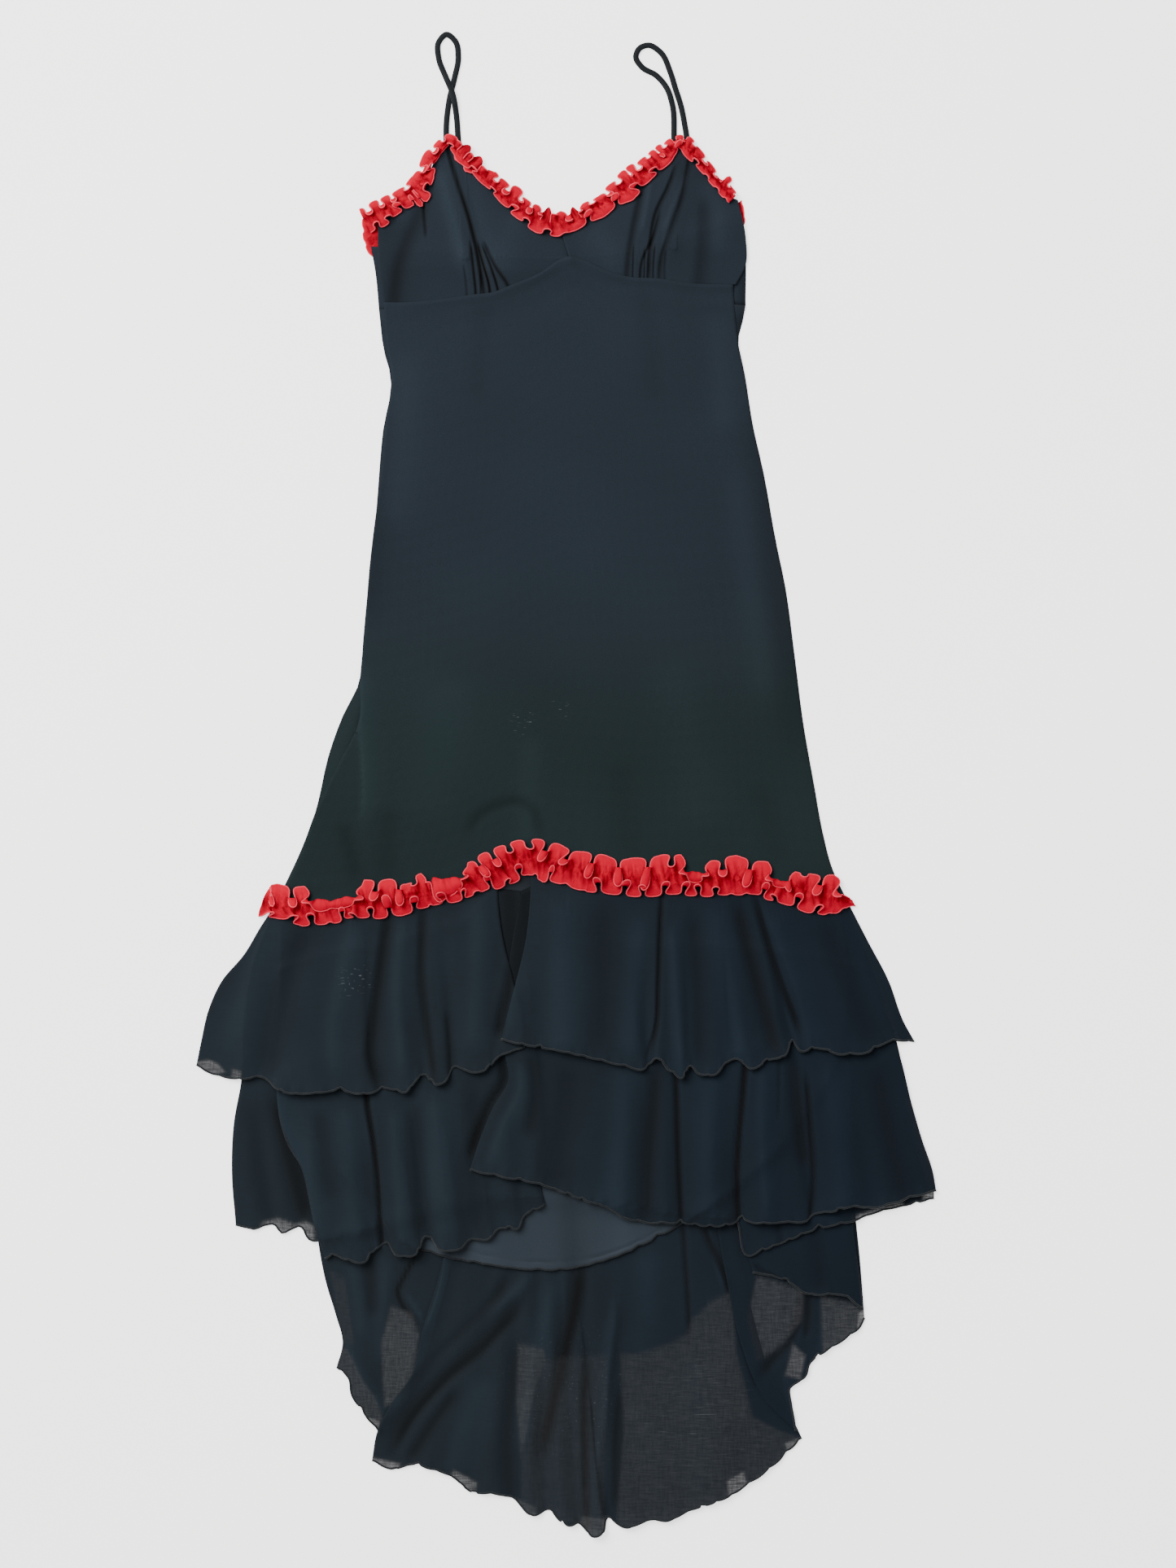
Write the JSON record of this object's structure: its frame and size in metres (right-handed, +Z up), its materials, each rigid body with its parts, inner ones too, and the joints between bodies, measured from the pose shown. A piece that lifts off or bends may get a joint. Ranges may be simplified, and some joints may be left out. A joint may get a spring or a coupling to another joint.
{
  "type": "high-low dress",
  "caption": "Strappy high-low dress lying flat, with gathered bust cups, an A-line skirt, ruffle trims at the neckline and hips, and tiered sheer flounces that fall longer at the back.",
  "frame": {"origin": "middle of the dress's outline as it lies, on the surface under it", "axes": "+Y from the train towards the straps, +X to the right as seen from above with the straps at the top, +Z up out of the surface"},
  "size_m": [0.754, 1.5306, 0.0213],
  "materials": {
    "crepe": "matt black crepe",
    "chiffon": "sheer black chiffon",
    "lining": "smooth dark grey lining",
    "red_ruffle": "gathered red chiffon",
    "strap": "black rouleau strap"
  },
  "bodies": {
    "root": {"neck_ruffle_back": "red_ruffle", "hip_ruffle_back": "red_ruffle", "bodice_back": "crepe", "skirt_back": "crepe", "train_left": "chiffon", "train_centre": "chiffon", "train_right": "chiffon", "train_turn": "chiffon", "flounce_back": "chiffon", "lining_skirt": "lining", "flounce_lower_left": "chiffon", "flounce_lower_right": "chiffon", "flounce_upper_left": "chiffon", "flounce_upper_right": "chiffon", "strap_left": "strap", "strap_right": "strap", "cup_left": "crepe", "cup_right": "crepe", "skirt_front": "crepe", "neck_ruffle_front": "red_ruffle", "hip_ruffle_front": "red_ruffle"}
  },
  "joints": []
}
